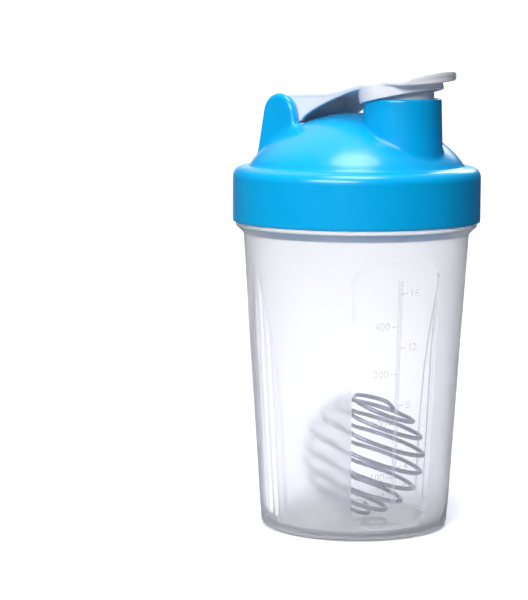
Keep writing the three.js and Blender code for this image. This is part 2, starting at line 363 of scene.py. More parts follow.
def skin(name, field, us, vs, ws, round_grid=False, normal_reach=0.12):
    """The surface where a field is zero: one point in each crossed cell, moved onto the surface.

    The grid is (x, y, z), or (radius, angle, z) for a round grid, which closes on itself and
    whose small hole along the axis is filled with flat caps.
    """
    if round_grid:
        vs = np.append(vs, 2 * math.pi)

    def place(u, v, w):
        return (u * np.cos(v), u * np.sin(v), w) if round_grid else (u, v, w)

    values = field(*place(*np.meshgrid(us, vs, ws, indexing="ij")))
    inside = values < 0
    shape = np.array(values.shape) - 1
    corners = [
        inside[tuple(slice(o, o + n) for o, n in zip(offset, shape))]
        for offset in itertools.product((0, 1), repeat=3)
    ]
    filled = sum(corner.astype(int) for corner in corners)
    cells = np.argwhere((filled > 0) & (filled < 8))
    number = np.full(shape, -1)
    number[tuple(cells.T)] = np.arange(len(cells))

    total = np.zeros((len(cells), 3))
    crossings = np.zeros(len(cells))
    for axis in range(3):
        ahead = np.eye(3, dtype=int)[axis]
        for start in itertools.product((0, 1), repeat=3):
            if start[axis]:
                continue
            a = cells + start
            b = a + ahead
            value_a = values[tuple(a.T)]
            value_b = values[tuple(b.T)]
            crossed = (value_a < 0) != (value_b < 0)
            share = np.where(crossed, value_a / np.where(crossed, value_a - value_b, 1), 0)[:, None]
            place_a = np.column_stack(place(us[a[:, 0]], vs[a[:, 1]], ws[a[:, 2]]))
            place_b = np.column_stack(place(us[b[:, 0]], vs[b[:, 1]], ws[b[:, 2]]))
            total += np.where(crossed[:, None], place_a + share * (place_b - place_a), 0)
            crossings += crossed
    points = total / crossings[:, None]

    passes, slope_reach, least_steepness = 4, 0.05, 0.05
    longest_move = 0.4 * min(us[1] - us[0], np.diff(ws).min())
    for _ in range(passes):
        slope = gradient(field, points, slope_reach)
        steepness = np.maximum((slope ** 2).sum(1), least_steepness)
        move = -(field(*points.T) / steepness)[:, None] * slope
        reach = np.maximum(np.linalg.norm(move, axis=1, keepdims=True), 1e-9)
        points = points + move * np.minimum(1, longest_move / reach)

    faces = []
    for axis in range(3):
        second, third = (axis + 1) % 3, (axis + 2) % 3
        inner = [slice(1, -1)] * 3
        first_cell = np.ones(3, dtype=int)
        if round_grid:
            inner[1] = slice(0, -1)
            first_cell[1] = 0
        first_cell[axis] = 0
        here = tuple(slice(None, -1) if k == axis else inner[k] for k in range(3))
        there = tuple(slice(1, None) if k == axis else inner[k] for k in range(3))
        flips = inside[here].astype(int) - inside[there].astype(int)
        edges = np.argwhere(flips != 0)
        sign = flips[tuple(edges.T)]
        edges = edges + first_cell
        around = []
        for back_second, back_third in ((1, 1), (0, 1), (0, 0), (1, 0)):
            cell = edges.copy()
            cell[:, second] -= back_second
            cell[:, third] -= back_third
            around.append(number[tuple(cell.T)])
        quads = np.column_stack(around)
        quads[sign < 0] = quads[sign < 0][:, ::-1]
        faces.extend(quads.tolist())
    if round_grid:
        for level in np.flatnonzero((number[0] >= 0).all(axis=0)):
            ring = number[0, :, level].tolist()
            faces.append(ring if inside[0, 0, level] else ring[::-1])
    normals = gradient(field, points, normal_reach)
    normals /= np.linalg.norm(normals, axis=1, keepdims=True)
    return new_piece(name, points, faces, normals)


def steps_between(low, high, step):
    return np.linspace(low, high, math.ceil((high - low) / step) + 1)


# ---------------------------------------------------------------- materials
def set_range(node, from_low, from_high, low, high):
    """Sets what a Map Range node maps from and to."""
    ends = {"From Min": from_low, "From Max": from_high, "To Min": low, "To Max": high}
    for socket, number in ends.items():
        node.inputs[socket].default_value = number


class Look:
    """A material with one Principled shader and its own small set of noise nodes."""

    def __init__(self, name, **values):
        self.material = bpy.data.materials.new(name)
        self.material.use_nodes = True
        self.nodes = self.material.node_tree.nodes
        self.links = self.material.node_tree.links
        self.shader = self.nodes["Principled BSDF"]
        self.place = self.nodes.new("ShaderNodeTexCoord").outputs["Object"]
        for socket, value in values.items():
            self.shader.inputs[socket].default_value = value

    def noise(self, grain, detail=2.0, stretch=(1, 1, 1)):
        """Noise whose features are about grain millimetres across."""
        mapping = self.nodes.new("ShaderNodeMapping")
        mapping.inputs["Scale"].default_value = stretch
        texture = self.nodes.new("ShaderNodeTexNoise")
        texture.inputs["Scale"].default_value = 1 / (grain * MM)
        texture.inputs["Detail"].default_value = detail
        self.links.new(self.place, mapping.inputs["Vector"])
        self.links.new(mapping.outputs["Vector"], texture.inputs["Vector"])
        return texture.outputs["Fac"]

    def span(self, value, low, high, from_low=0.3, from_high=0.7):
        """The value mapped from its usual range to low..high."""
        node = self.nodes.new("ShaderNodeMapRange")
        set_range(node, from_low, from_high, low, high)
        self.links.new(value, node.inputs["Value"])
        return node.outputs["Result"]

    def mixed(self, factor, first, second):
        node = self.nodes.new("ShaderNodeMix")
        node.data_type = "RGBA"
        node.inputs["A"].default_value = (*first, 1)
        node.inputs["B"].default_value = (*second, 1)
        self.links.new(factor, node.inputs["Factor"])
        return node.outputs["Result"]

    def bump(self, height, depth, strength=1.0):
        """Bumps depth millimetres high; a second call adds to the first."""
        node = self.nodes.new("ShaderNodeBump")
        node.inputs["Strength"].default_value = strength
        node.inputs["Distance"].default_value = depth * MM
        self.links.new(height, node.inputs["Height"])
        normal = self.shader.inputs["Normal"]
        if normal.is_linked:
            self.links.new(normal.links[0].from_socket, node.inputs["Normal"])
        self.links.new(node.outputs["Normal"], normal)

    def set(self, socket, value):
        self.links.new(value, self.shader.inputs[socket])


def cup_look():
    """Translucent polypropylene: frosted outside, polished inside and in the two windows."""
    look = Look("cup_plastic", **{"IOR": 1.3, "Transmission Weight": 0.86})
    attribute = look.nodes.new("ShaderNodeAttribute")
    attribute.attribute_name = "polish"
    polish = attribute.outputs["Fac"]
    frosted = look.span(look.noise(9, 3), 0.38, 0.44)
    polished = 0.05
    roughness = look.nodes.new("ShaderNodeMix")
    look.links.new(look.span(polish, 0, 1, -0.12, 0.12), roughness.inputs["Factor"])
    look.links.new(frosted, roughness.inputs["A"])
    roughness.inputs["B"].default_value = polished
    look.set("Roughness", roughness.outputs["Result"])
    look.set("Base Color", look.mixed(look.noise(30, 2), (0.968, 0.97, 0.988), (0.978, 0.98, 0.993)))
    look.bump(look.noise(0.5, 3), 0.02, 0.25)
    look.bump(look.noise(14, 2), 0.12, 0.35)
    return look.material


def scale_look():
    """The matt relief of the scale: a thin veil over what is behind it."""
    look = Look("scale_frost", **{"IOR": 1.49, "Roughness": 0.5, "Alpha": 0.2})
    look.set("Base Color", look.mixed(look.noise(5, 2), (0.96, 0.96, 0.98), (0.98, 0.98, 1.0)))
    return look.material


def lid_look():
    """Cyan-blue polypropylene with a satin gloss."""
    look = Look("lid_plastic", **{
        "IOR": 1.49,
        "Transmission Weight": 0.18,
        "Subsurface Weight": 0.3,
        "Subsurface Scale": 2 * MM,
        "Subsurface Radius": (0.2, 0.9, 1.4),
    })
    look.set("Base Color", look.mixed(look.noise(22, 3), (0.0, 0.455, 0.85), (0.0, 0.485, 0.89)))
    look.set("Roughness", look.span(look.noise(6, 4), 0.2, 0.27))
    look.bump(look.noise(0.35, 2), 0.008, 0.35)
    look.bump(look.noise(11, 2), 0.06, 0.3)
    return look.material


def cap_look():
    """White polypropylene, slightly see-through where it is thin."""
    look = Look("cap_plastic", **{
        "IOR": 1.49,
        "Transmission Weight": 0.15,
        "Subsurface Weight": 0.25,
        "Subsurface Scale": 2 * MM,
        "Subsurface Radius": (1.0, 1.0, 1.1),
    })
    look.set("Base Color", look.mixed(look.noise(16, 3), (0.93, 0.93, 0.965), (0.95, 0.95, 0.98)))
    look.set("Roughness", look.span(look.noise(5, 4), 0.3, 0.38))
    look.bump(look.noise(0.4, 2), 0.012, 0.4)
    return look.material


def silicone_look():
    """Matt, slightly see-through silicone."""
    look = Look("seal_silicone", **{"IOR": 1.41, "Roughness": 0.55, "Transmission Weight": 0.3})
    look.set("Base Color", look.mixed(look.noise(4, 3), (0.7, 0.73, 0.77), (0.78, 0.8, 0.84)))
    look.bump(look.noise(0.3, 3), 0.02, 0.5)
    return look.material


def steel_look():
    """Drawn stainless wire with fine scratches; its dark blue-grey colour is painted shade, standing in
    for the dark room the steel would reflect.
    """
    look = Look("whisk_steel", **{"Metallic": 1.0})
    # painted shade: a dark blue-grey base darkens the steel as dark reflections would, far below the pale
    # grey of bare steel
    look.set("Base Color", look.mixed(look.noise(3, 3), (0.17, 0.18, 0.27), (0.25, 0.26, 0.35)))
    look.set("Roughness", look.span(look.noise(0.5, 4, (1, 1, 6)), 0.18, 0.34))
    look.bump(look.noise(0.2, 3, (1, 1, 5)), 0.01, 0.4)
    return look.material


def dress(piece, material, body=None, replaced=()):
    """Gives a piece its material, hides the nodes it stands for, and hangs it on the body it rides on."""
    piece.data.materials.append(material)
    if replaced:
        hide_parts(*replaced)
    if body:
        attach(piece, body)
    return piece


# ---------------------------------------------------------------- cup
def cup_outer(z):
    return CUP_BASE_RADIUS + (CUP_TOP_RADIUS - CUP_BASE_RADIUS) * z / COLLAR_START


def angle_from(angles, centre):
    """Degrees from a centre line, from -180 to 180."""
    return (np.degrees(angles) - centre + 180) % 360 - 180


def smooth_step(value, low, high):
    share = np.clip((value - low) / (high - low), 0, 1)
    return share * share * (3 - 2 * share)


def thread_phase(angles, z, bottom):
    """For each thread start, the height above the bead and the share of its sweep."""
    for start in range(THREAD_STARTS):
        turned = (angles - start * 2 * math.pi / THREAD_STARTS) % (2 * math.pi)
        rise = z - bottom - THREAD_LEAD * turned / (2 * math.pi)
        yield rise, turned / THREAD_SWEEP


def window_inset(angles, z):
    """Millimetres inside the edge of the nearer polished window, negative outside it."""
    half_angle, low, high, corner = 25.0, 5.0, 111.0, 9.0
    inset = np.full(np.broadcast(angles, z).shape, -np.inf)
    for centre in WINDOW_CENTRES:
        arc_length = np.radians(np.abs(angle_from(angles, centre))) * cup_outer(z)
        beside = arc_length - math.radians(half_angle) * cup_outer(z)
        above = np.abs(z - (low + high) / 2) - (high - low) / 2
        inset = np.maximum(inset, -slab(beside, above, corner))
    return inset


def grip_recess(angles, z):
    """How far the ribbed grip panels lie below the cup's surface, and the ridge round them above it."""
    full_width, straight_top, taper, pitch = 23.0, 30.0, 77.5, 6.6
    panel_depth, groove_depth, edge = 0.4, 0.75, 1.4
    ridge_height, ridge_width, ridge_out = 0.2, 1.2, 0.8
    above_foot = smooth_step(z, 4, 8)
    share = np.clip((z - straight_top) / taper, 0, 1)
    half_width = full_width * np.sqrt(1 - share ** 2)
    depth = 0.0
    for centre in GRIP_CENTRES:
        away = angle_from(angles, centre)
        inset = np.radians(half_width - np.abs(away)) * cup_outer(z)
        groove = 0.5 - 0.5 * np.cos(2 * math.pi * (away / pitch + 0.5))
        within = smooth_step(inset, 0, edge) * above_foot
        grooves = smooth_step(inset, 1.2, 4.5) * groove ** 2
        ridge = ridge_height * np.exp(-((inset + ridge_out) / ridge_width) ** 2)
        depth = depth + within * panel_depth + groove_depth * grooves * within
        depth = depth - ridge * above_foot * (half_width > 0.5)
    return depth


def cup_angles():
    """Angles round the cup, closer together over the ribbed grips."""
    fine, coarse, half = 0.5, 1.2, 26.0
    stretches = []
    for centre in GRIP_CENTRES:
        stretches.append(np.arange(centre - half, centre + half, fine))
        stretches.append(np.arange(centre + half, centre + 180 - half - coarse / 2, coarse))
    return np.radians(np.concatenate(stretches))


def cup_outline():
    """Half the cup's section: along the foot, up the outside, and down the inside to the floor."""
    return rounded([
        (FLAT_RADIUS, FOOT_RECESS, 0),
        (FOOT_RADIUS - 1, FOOT_RECESS, 0.6),
        (FOOT_RADIUS + 0.6, 0, 0.5),
        (CUP_BASE_RADIUS, 0, CORNER),
        (CUP_TOP_RADIUS, COLLAR_START, 1.2),
        (COLLAR_RADIUS, COLLAR_TOP - COLLAR_EDGE, 0.6),
        (COLLAR_RADIUS, COLLAR_TOP, 0.3),
        (NECK_RADIUS, COLLAR_TOP, 0.5),
        (NECK_RADIUS, NECK_TOP, 0.7),
        (NECK_BORE, NECK_TOP, 0.6),
        (NECK_BORE, COLLAR_START + 2, 4),
        (cup_outer(FLOOR_TOP) - CUP_WALL, FLOOR_TOP, CORNER + 1),
        (FLAT_RADIUS, FLOOR_TOP, 0),
    ])


def cup_row_spacing(point):
    """Rows lie closer together on the threaded neck and on the outer wall, which carry relief."""
    radius, z = point
    if z > COLLAR_TOP and radius > NECK_RADIUS - 0.3:
        return 0.6
    if radius > cup_outer(z) - 0.3:
        return 0.9
    return 6.0


def cup_body():
    """The turned cup with its windows, grips and thread, and how polished it is at each point."""
    rim_height, rim_width = 0.05, 0.7
    frosted, barely_frosted, polished = -3.0, -0.06, 3.0
    line = spaced(cup_outline(), cup_row_spacing)
    angles = cup_angles()
    base, z = (column[:, None] for column in line.T)
    wall = (base > cup_outer(z) - 0.2) & (z < COLLAR_START) & (z > 0.5)
    neck = (np.abs(base - NECK_RADIUS) < 0.05) & (z > COLLAR_TOP)
    inset = window_inset(angles[None, :], z)
    rim = rim_height * np.exp(-(inset / rim_width) ** 2)
    grips = grip_recess(angles[None, :], z)
    relief = rim - WINDOW_DEPTH * smooth_step(inset, -0.3, 0.6) - grips
    bead = np.zeros(relief.shape)
    for rise, share in thread_phase(angles[None, :], z, THREAD_BOTTOM):
        fade = smooth_step(share, 0, 0.06) * (1 - smooth_step(share, 0.94, 1))
        bead = np.maximum(bead, 1.5 * THREAD_BEAD * fade * np.clip(1 - (rise / 1.5) ** 2, 0, 1))
    radii = base + np.where(wall, relief, 0) + np.where(neck, bead, 0)
    piece = lathe("cup_body", radii, line[:, 1], angles)
    inner = (base < cup_outer(z) - CUP_WALL / 2) & (z > FLOOR_TOP / 2)
    polish = np.where(wall, np.clip(inset, frosted, polished), np.where(inner, polished, frosted))
    polish = np.where(wall & (grips > 0.2), barely_frosted, polish)
    values = np.append(polish.reshape(-1), [frosted, polished])
    piece.data.attributes.new("polish", "FLOAT", "POINT").data.foreach_set("value", values)
    return piece


# ---------------------------------------------------------------- the scale moulded on the cup
def cup_volume_height(millilitres):
    """The height at which the cup holds a volume."""
    z = FLOOR_TOP
    step = 0.1
    volume = 0.0
    while volume < millilitres * 1000:
        volume += math.pi * (cup_outer(z) - CUP_WALL) ** 2 * step
        z += step
    return z


def wrapped(name, flat_points, faces, centre):
    """Flat relief, (across, height, depth) in millimetres, bent round the cup's wall."""
    clearance = 0.02
    flat = np.asarray(flat_points, float)
    radius = cup_outer(flat[:, 1]) - WINDOW_DEPTH + clearance + flat[:, 2]
    angle = math.radians(centre) + flat[:, 0] / cup_outer(flat[:, 1])
    points = np.column_stack([radius * np.cos(angle), radius * np.sin(angle), flat[:, 1]])
    return new_piece(name, points, faces)


def bar_relief(across, low, high, thickness, bevel=0.35, steps=4):
    """A low bar with sloping edges, from across[0] to across[1] and from low to high."""
    row_height, edge_height = 1.5, 0.01
    us = np.concatenate([[across[0] - bevel], np.linspace(*across, steps), [across[1] + bevel]])
    rises = max(2, round((high - low) / row_height))
    vs = np.concatenate([[low - bevel], np.linspace(low, high, rises), [high + bevel]])
    u, v = np.meshgrid(us, vs)
    raised = np.zeros(u.shape)
    raised[1:-1, 1:-1] = thickness
    raised += edge_height
    front = np.stack([u, v, raised], -1).reshape(-1, 3)
    back = np.stack([u, v, np.zeros(u.shape)], -1).reshape(-1, 3)
    rows, columns = u.shape
    size = len(front)
    faces = []
    for row, column in itertools.product(range(rows - 1), range(columns - 1)):
        a = row * columns + column
        quad = (a, a + 1, a + columns + 1, a + columns)
        faces.append(quad)
        faces.append(tuple(size + index for index in quad[::-1]))
    edge = list(range(columns))
    edge += [row * columns + columns - 1 for row in range(1, rows)]
    edge += [(rows - 1) * columns + column for column in range(columns - 2, -1, -1)]
    edge += [row * columns for row in range(rows - 2, 0, -1)]
    faces.extend((b, a, size + a, size + b) for a, b in zip(edge, edge[1:] + edge[:1]))
    return front.tolist() + back.tolist(), faces


def text_relief(text, size, across, height, align, thickness):
    """Generic numerals and unit letters as low relief."""
    bevel, swell = 0.04, 0.02
    curve = bpy.data.curves.new("numeral", "FONT")
    curve.body = text
    curve.size = size
    curve.align_x = align
    curve.align_y = "CENTER"
    curve.extrude = thickness / 2 - bevel
    curve.bevel_depth = bevel
    curve.bevel_resolution = 1
    curve.offset = swell
    curve.resolution_u = 4
    letters = bpy.data.objects.new("numeral", curve)
    bpy.context.scene.collection.objects.link(letters)
    bpy.context.view_layer.update()
    mesh = bpy.data.meshes.new_from_object(letters)
    points = [(v.co.x + across, v.co.y + height, v.co.z + thickness / 2) for v in mesh.vertices]
    faces = [tuple(polygon.vertices) for polygon in mesh.polygons]
    bpy.data.objects.remove(letters)
    bpy.data.curves.remove(curve)
    bpy.data.meshes.remove(mesh)
    return points, faces


def merged(reliefs):
    """Several reliefs as one list of points and one of faces."""
    points = []
    faces = []
    for more_points, more_faces in reliefs:
        start = len(points)
        points.extend(more_points)
        faces.extend(tuple(start + index for index in face) for face in more_faces)
    return points, faces


def scale_relief(marks, unit, side):
    """Ticks and numerals on one side of the scale's line: side is -1 on the left, 1 on the right."""
    tick_end, half_tick, numeral_size = 3.0, 0.15, 4.2
    text_start, unit_drop = tick_end + 0.9, 7.5
    align = "RIGHT" if side < 0 else "LEFT"
    for label, z in marks:
        reach = sorted((side * SCALE_HALF_LINE, side * tick_end))
        yield bar_relief(reach, z - half_tick, z + half_tick, SCALE_RELIEF, bevel=0.2)
        yield text_relief(label, numeral_size, side * text_start, z, align, SCALE_RELIEF)
    yield text_relief(unit, numeral_size, side * text_start, marks[0][1] - unit_drop, align, SCALE_RELIEF)


def cup_scale():
    """A scale in millilitres and ounces, each mark where the cup holds that much."""
    ounce = 29.57
    millilitres = [(str(volume), cup_volume_height(volume)) for volume in (100, 200, 300, 400)]
    ounces = [(str(count), cup_volume_height(count * ounce)) for count in (4, 8, 12, 16)]
    points, faces = merged([
        bar_relief((-SCALE_HALF_LINE, SCALE_HALF_LINE), *SCALE_ENDS, SCALE_RELIEF),
        *scale_relief(millilitres, "ml", -1),
        *scale_relief(ounces, "oz", 1),
    ])
    return wrapped("cup_scale", points, faces, WINDOW_CENTRES[0])


# ---------------------------------------------------------------- lid
def dome_height_at(rho):
    return SHOULDER + DOME_HEIGHT * (1 - (rho / DOME_RADIUS) ** 2) ** DOME_POWER


def dome_line(foot, base, height, steps=40):
    """A dome's side from its foot up to its crown."""
    rho = foot * np.sin(np.linspace(math.pi / 2, 0, steps + 1))
    return np.column_stack([rho, base + height * np.clip(1 - (rho / foot) ** 2, 0, 1) ** DOME_POWER])


def lid_outside():
    """Half the lid's outer section; the dome starts where the shoulder's groove meets it."""
    steps_in_groove = 4
    dome = dome_line(DOME_RADIUS, SHOULDER, DOME_HEIGHT)[steps_in_groove:]
    skirt = rounded([
        (-5, LID_BOTTOM, 0),
        (LID_RADIUS, LID_BOTTOM, 0.7),
        (LID_RADIUS, SHOULDER - 0.2, 4.2),
        (DOME_RADIUS + 0.4, SHOULDER - 0.2, 0.7),
        (*dome[0], 0),
    ])
    return outline_field(np.vstack([skirt, dome, [(-5, dome[-1][1])]]))


def lid_inside():
    """Half the section of the room inside the lid, with the lip that stands inside the seal."""
    crown = dome_height_at(0) - LID_WALL
    groove = rounded([
        (-5, LID_BOTTOM - 8, 0),
        (LID_BORE, LID_BOTTOM - 8, 0),
        (LID_BORE, SEAL_SEAT, 0.8),
        (LIP_OUTER, SEAL_SEAT, 0.4),
        (LIP_OUTER, LIP_BOTTOM, 0.5),
        (LIP_INNER, LIP_BOTTOM, 0.5),
        (LIP_INNER, SEAL_SEAT, 0),
    ])
    roof = dome_line(LIP_INNER, SEAL_SEAT, crown - SEAL_SEAT)[1:]
    return outline_field(np.vstack([groove, roof, [(-5, crown)]]), margin=10.0)


def ear_outline():
    crown = arc(HINGE_X, HINGE_Z - EAR_DROP, EAR_RADIUS, EAR_TANGENT, 180 - EAR_TANGENT, 28)
    reach = EAR_RADIUS + EAR_SPREAD
    foot = [(HINGE_X - reach, EAR_BASE), (HINGE_X + reach, EAR_BASE)]
    return outline_field(np.vstack([foot, crown]))


def lid_field():
    outside, inside, ear = lid_outside(), lid_inside(), ear_outline()
    taper = (SPOUT_BASE_RADIUS - SPOUT_RIM_RADIUS) / (SPOUT_RIM - SPOUT_BASE)

    def field(x, y, z):
        rho = np.hypot(x, y)
        from_spout = np.hypot(x - SPOUT_X, y)
        tube = from_spout - SPOUT_RIM_RADIUS - taper * (SPOUT_RIM - z)
        tube = common(tube, z - SPOUT_RIM, 1.0)
        tube = np.maximum(tube, SPOUT_BASE - z)
        across = np.abs(np.abs(y) - EAR_INNER - EAR_THICKNESS / 2) - EAR_THICKNESS / 2
        ears = slab(ear(x, z), across, EAR_ROUNDING)
        shell = join(join(outside(rho, z), tube, 0.9), ears, 2.4)
        shell = cut(shell, inside(rho, z), 0.4)
        bore = np.maximum(from_spout - SPOUT_BORE, LIP_BOTTOM - z)
        shell = cut(shell, bore, 0.8)
        from_pin = np.hypot(x - HINGE_X, z - HINGE_Z)
        socket = np.maximum(from_pin - SOCKET_RADIUS, np.abs(y) - EAR_INNER - SOCKET_DEPTH)
        shell = cut(shell, socket, 0.3)
        angles = np.arctan2(y, x)
        half_pitch = THREAD_LEAD / THREAD_STARTS / 2
        for rise, share in thread_phase(angles, z, THREAD_BOTTOM - half_pitch):
            fade = smooth_step(share, 0, 0.05) * (1 - smooth_step(share, 0.95, 1))
            bead = np.hypot(rho - LID_THREAD_RADIUS - 1 + fade, rise) - THREAD_BEAD * fade
            shell = join(shell, bead + 0.02, 0.4)
        return shell

    return field


def lid_piece():
    """The lid as one skin, with levels closest together at the shoulder."""
    radii = steps_between(0.1, LID_RADIUS + 1.5, 0.72)
    stops = (LID_BOTTOM - 1, 141.5, 145.4, 148.6, LID_HIGH.z + 1)
    steps = (0.95, 0.55, 0.35, 0.65)
    bands = [steps_between(*band)[:-1] for band in zip(stops, stops[1:], steps)]
    levels = np.append(np.concatenate(bands), stops[-1])
    return skin("lid", lid_field(), radii, round_angles(400), levels, round_grid=True)


# ---------------------------------------------------------------- flip cap
def lowered(line, depth):
    """The outline of a band that lies under a line."""
    return np.vstack([line, (line - (0, depth))[::-1]])


def strap_line():
    """The strap's top from its heel round the hinge to its thumb end."""
    heel_radius = STRAP_TOP[0][1] - HINGE_Z
    heel_angle = math.degrees(math.acos((STRAP_REAR_X - HINGE_X) / heel_radius))
    heel = arc(HINGE_X, HINGE_Z, heel_radius, heel_angle, 90, 8)[:-1]
    return np.vstack([heel, spline(STRAP_TOP)])


def turned_places(x, y, z, axis, angle):
    """Places turned about the cap's flex point, by an angle that may vary from place to place."""
    dx, dy, dz = x - PRESS_X, y, z - PRESS_Z
    c, s = np.cos(angle), np.sin(angle)
    along = (axis.x * dx + axis.y * dy + axis.z * dz) * (1 - c)
    return (
        PRESS_X + dx * c + (axis.y * dz - axis.z * dy) * s + axis.x * along,
        dy * c + (axis.z * dx - axis.x * dz) * s + axis.y * along,
        PRESS_Z + dz * c + (axis.x * dy - axis.y * dx) * s + axis.z * along,
    )


def drawn_places(x, y, z):
    """Places on the cap at rest, where it sits askew, taken back to where it is drawn square."""
    to_rest = Matrix.Rotation(REST_OPEN, 3, REST_AXIS)
    from_drawn = Matrix.Rotation(-DRAWN_OPEN, 3, DRAWN_AXIS)
    axis, angle = (to_rest @ from_drawn).to_quaternion().to_axis_angle()
    return turned_places(x, y, z, axis, -angle * smooth_step(x, FLEX_FROM, FLEX_TO))


def space_under(line, far_height):
    """The space under a line along the cap, which goes on past the cap's end at far_height."""
    far_x, low_z = 60, 150
    corners = [(far_x, far_height), (far_x, low_z), (HUB_END_X, low_z)]
    return outline_field(np.vstack([line, corners]), margin=12)


def flip_cap_field():
    """The plate, flanges, thumb lip, hub and disc as one moulding, drawn square and read askew."""
    top = strap_line()
    edge = spline(FLANGE_EDGE)
    front = top[top[:, 0] > LIP_START_X]
    under = top[top[:, 0] > HUB_END_X] - (0, STRAP_WALL / 2)
    heel = [(HINGE_X - 2, HINGE_Z - HUB_RADIUS + 0.5), (HINGE_X, HINGE_Z - HUB_RADIUS)]
    hub_top = top[(top[:, 0] > HINGE_X - 3) & (top[:, 0] <= HUB_END_X)] - (0, STRAP_WALL / 2)
    plate = outline_field(lowered(top, STRAP_WALL))
    flange = outline_field(np.vstack([heel, edge, under[::-1], hub_top[::-1]]))
    lip = outline_field(np.vstack([front, [(front[-1][0], LIP_EDGE), (front[0][0], LIP_EDGE)]]))
    ceiling = space_under(under, under[-1][1])
    room = space_under(edge + (0, 1), edge[-1][1])

    def field(rest_x, rest_y, rest_z):
        x, y, z = drawn_places(rest_x, rest_y, rest_z)
        width = np.abs(y) - STRAP_HALF_WIDTH
        from_spout = np.hypot(x - SPOUT_X, y)
        nose = np.hypot(np.maximum(x - SPOUT_X, 0), y) - STRAP_FRONT_RADIUS
        plan = common(width, nose, 1.5)
        solid = slab(plate(x, z), plan, 0.5)
        side = np.maximum(plan, STRAP_HALF_WIDTH - STRAP_WALL - np.abs(y))
        solid = join(solid, slab(flange(x, z), side, 0.45), 0.8)
        rim = np.maximum(plan, STRAP_FRONT_RADIUS - STRAP_WALL - from_spout)
        solid = join(solid, slab(lip(x, z), rim, 0.4), 0.8)
        from_pin = np.hypot(x - HINGE_X, z - HINGE_Z)
        hub = slab(from_pin - HUB_RADIUS, width, 0.6)
        solid = join(solid, hub, 1.0)
        closed_x, closed_y, closed_z = turned_places(x, y, z, DRAWN_AXIS, -DRAWN_OPEN)
        from_axis = np.hypot(closed_x - SPOUT_X, closed_y)
        puck = common(from_axis - DISC_RADIUS, DISC_BOTTOM - closed_z, 0.5)
        recess = np.maximum(from_axis - DISC_RADIUS + DISC_SKIRT, closed_z - DISC_BOTTOM - DISC_DEPTH)
        puck = cut(puck, recess, 0.4)
        below = np.minimum(room(x, z), np.maximum(ceiling(x, z), np.abs(y) - STRAP_HALF_WIDTH + 1))
        solid = join(solid, common(puck, below, 0.3), 0.7)
        return cut(solid, from_pin - SOCKET_RADIUS, 0.3)

    return field


def flip_cap_piece(cell=0.38):
    reach = DISC_RADIUS + 1
    front, top = 47, 188
    xs = steps_between(HINGE_X - 9, front, cell)
    ys = steps_between(-reach, reach, cell)
    zs = steps_between(HINGE_Z - HUB_RADIUS - 1, top, cell)
    return skin("flip_cap", flip_cap_field(), xs, ys, zs, normal_reach=0.08)


def plug_piece():
    """The hollow stopper under the disc, tilted with it."""
    top = DISC_BOTTOM + DISC_DEPTH - GAP
    end = top - PLUG_DEPTH
    inside = PLUG_END_RADIUS - PLUG_WALL
    axis_hole = 0.5
    outline = rounded([
        (axis_hole, top - PLUG_ROOF, 0),
        (inside - 0.2, top - PLUG_ROOF, 0.7),
        (inside, end, 0.5),
        (PLUG_END_RADIUS, end, 0.7),
        (PLUG_TOP_RADIUS, top - 1.2, 0.8),
        (PLUG_TOP_RADIUS, top, 0.4),
        (axis_hole, top, 0),
    ])
    line = spaced(outline, lambda point: 1.0)[::-1]
    piece = lathe("spout_stopper", line[:, 0], line[:, 1], round_angles(96))
    turn = Matrix.Rotation(REST_OPEN, 4, REST_AXIS)
    pivot = Matrix.Translation(Vector((PRESS_X, 0, PRESS_Z)) * MM)
    piece.data.flip_normals()
    piece.data.transform(pivot @ turn @ pivot.inverted() @ Matrix.Translation((SPOUT_X * MM, 0, 0)))
    return piece


def pin_piece():
    """The hinge pin, turned upright and then laid across the cap."""
    radius, half = PIN_HIGH.x - HINGE_X, PIN_HIGH.y
    axis_hole, rounding = 0.3, 0.5
    outline = rounded([
        (axis_hole, -half, 0),
        (radius, -half, rounding),
        (radius, half, rounding),
        (axis_hole, half, 0),
    ])
    line = spaced(outline, lambda point: 1.5)
    piece = lathe("cap_pin", line[:, 0], line[:, 1], round_angles(40))
    turn = Matrix.Rotation(math.pi / 2, 4, "X")
    piece.data.transform(Matrix.Translation((HINGE_X * MM, 0, HINGE_Z * MM)) @ turn)
    return piece


def gasket_piece():
    """A flat ring with a rounded section."""
    inner, outer, rounding = 43.9, GASKET_HIGH.y, 0.5
    low, high = GASKET_LOW.z, GASKET_HIGH.z
    middle = (inner + outer) / 2
    ring = rounded([
        (middle, low, 0),
        (outer, low, rounding),
        (outer, high, rounding),
        (inner, high, rounding),
        (inner, low, rounding),
        (middle, low, 0),
    ])[:-1]
    return lathe("seal_ring", ring[:, 0], ring[:, 1], round_angles(240), closed_ring=True)


# ---------------------------------------------------------------- whisk ball
def ball_path(steps=520):
    """The wire's centre line: a spiral over a sphere, its two ends tucked inwards."""
    share = np.linspace(0, 1, steps + 1)
    polar = BALL_POLE + share * (math.pi - 2 * BALL_POLE)
    turn = BALL_START + share * BALL_TURNS * 2 * math.pi
    depth, length = 0.1, 0.02
    tuck = depth * (smooth_step(-share, -length, 0) + smooth_step(share, 1 - length, 1))
    radius = BALL_RADIUS * (1 - tuck)
    path = np.column_stack([
        radius * np.sin(polar) * np.cos(turn),
        radius * np.sin(polar) * np.sin(turn),
        radius * np.cos(polar),
    ])
    axis = Vector((-math.sin(VIEW_HEADING), math.cos(VIEW_HEADING), 0))
    lean = np.array(Matrix.Rotation(BALL_LEAN, 3, axis))
    return path @ lean.T + np.array(BALL_CENTRE)


